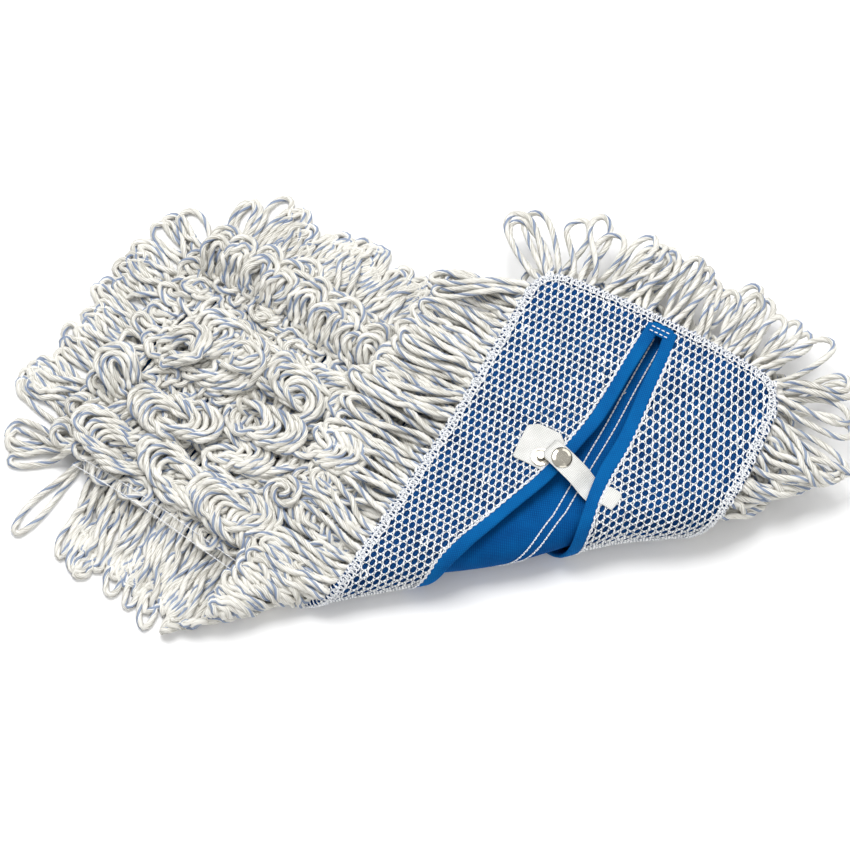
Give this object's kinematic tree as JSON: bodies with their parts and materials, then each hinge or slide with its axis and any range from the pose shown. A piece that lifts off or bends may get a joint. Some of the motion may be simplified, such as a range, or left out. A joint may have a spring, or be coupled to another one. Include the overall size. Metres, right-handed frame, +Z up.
{
  "type": "looped yarn mop refill",
  "caption": "Flat looped-yarn mop pad with a slit fabric frame pocket, net cover and snap tab, one end folded back over the yarn.",
  "frame": {"origin": "middle of the folded mop's footprint, on the floor", "axes": "+X along the unfolded pad's length towards the folded end, +Y towards the pad's far long side, +Z up"},
  "size_m": [0.4363, 0.364, 0.0459],
  "materials": {
    "net_polyester": "warp-knit white polyester net",
    "lining_polyester": "woven blue polyester",
    "canvas_cotton": "woven blue cotton canvas",
    "binding_tape": "folded blue cotton binding",
    "serging_thread": "overlocked white polyester thread",
    "mop_yarn": "twisted off-white cotton blend with a blue tracer ply",
    "strap_webbing": "white woven polyester tape",
    "snap_metal": "nickel-plated pressed brass snap"
  },
  "bodies": {
    "pad_flat": {"canvas_flat": "canvas_cotton", "fringe_end_flat": "mop_yarn", "fringe_far_flat": "mop_yarn", "fringe_near_flat": "mop_yarn", "lining_far_flat": "lining_polyester", "lining_near_flat": "lining_polyester", "net_cover_far_flat": "net_polyester", "net_cover_near_flat": "net_polyester", "overlock_edge_flat": "serging_thread", "slit_binding_far_flat": "binding_tape", "slit_binding_near_flat": "binding_tape", "slit_end_tape_flat": "binding_tape", "yarn_row_1_flat": "mop_yarn", "yarn_row_2_flat": "mop_yarn", "yarn_row_3_flat": "mop_yarn", "yarn_row_4_flat": "mop_yarn"},
    "fold_strip_1": {"canvas_fold_1": "canvas_cotton", "cover_far_fold_1": "net_polyester", "cover_near_fold_1": "net_polyester", "fringe_fold_1": "mop_yarn", "overlock_edge_fold_1": "serging_thread", "slit_binding_far_fold_1": "binding_tape", "slit_binding_near_fold_1": "binding_tape", "yarn_pile_fold_1": "mop_yarn"},
    "fold_strip_2": {"canvas_fold_2": "canvas_cotton", "cover_far_fold_2": "net_polyester", "cover_near_fold_2": "net_polyester", "fringe_fold_2": "mop_yarn", "overlock_edge_fold_2": "serging_thread", "slit_binding_far_fold_2": "binding_tape", "slit_binding_near_fold_2": "binding_tape", "yarn_pile_fold_2": "mop_yarn"},
    "pad_end": {"canvas_end": "canvas_cotton", "fringe_end_end": "mop_yarn", "fringe_far_end": "mop_yarn", "fringe_near_end": "mop_yarn", "lining_far_end": "lining_polyester", "lining_near_end": "lining_polyester", "net_cover_far_end": "net_polyester", "net_cover_near_end": "net_polyester", "overlock_edge_end": "serging_thread", "slit_binding_far_end": "binding_tape", "slit_binding_near_end": "binding_tape", "slit_end_tape_end": "binding_tape", "snap_stud": "snap_metal", "stud_eyelet": "snap_metal", "stud_patch": "strap_webbing", "tab_anchor_patch": "strap_webbing", "tab_strap_root": "strap_webbing", "yarn_row_1_end": "mop_yarn", "yarn_row_2_end": "mop_yarn", "yarn_row_3_end": "mop_yarn", "yarn_row_4_end": "mop_yarn"},
    "tab": {"snap_cap": "snap_metal", "snap_socket": "snap_metal", "tab_strap": "strap_webbing"}
  },
  "joints": [
    {"name": "fold_line_1", "type": "hinge", "parent": "pad_flat", "child": "fold_strip_1", "pos_m": [0.00184, -0.13404, 0], "axis": [0.6691, 0.7431, 0], "range_deg": [0, 60]},
    {"name": "fold_line_2", "type": "hinge", "parent": "fold_strip_1", "child": "fold_strip_2", "pos_m": [0.00999, -0.14139, 0.019], "axis": [0.6691, 0.7431, 0], "range_deg": [0, 60]},
    {"name": "fold_line_3", "type": "hinge", "parent": "fold_strip_2", "child": "pad_end", "pos_m": [0.00184, -0.13404, 0.038], "axis": [0.6691, 0.7431, 0], "range_deg": [0, 60]},
    {"name": "tab_hinge", "type": "hinge", "parent": "pad_end", "child": "tab", "pos_m": [0.10909, 0.01135, 0.0394], "axis": [0.1736, 0.9848, 0], "range_deg": [0, 160]}
  ],
  "couplings": [
    {"joint": "fold_line_2", "follows": "fold_line_1", "ratio": 1},
    {"joint": "fold_line_3", "follows": "fold_line_1", "ratio": 1}
  ]
}
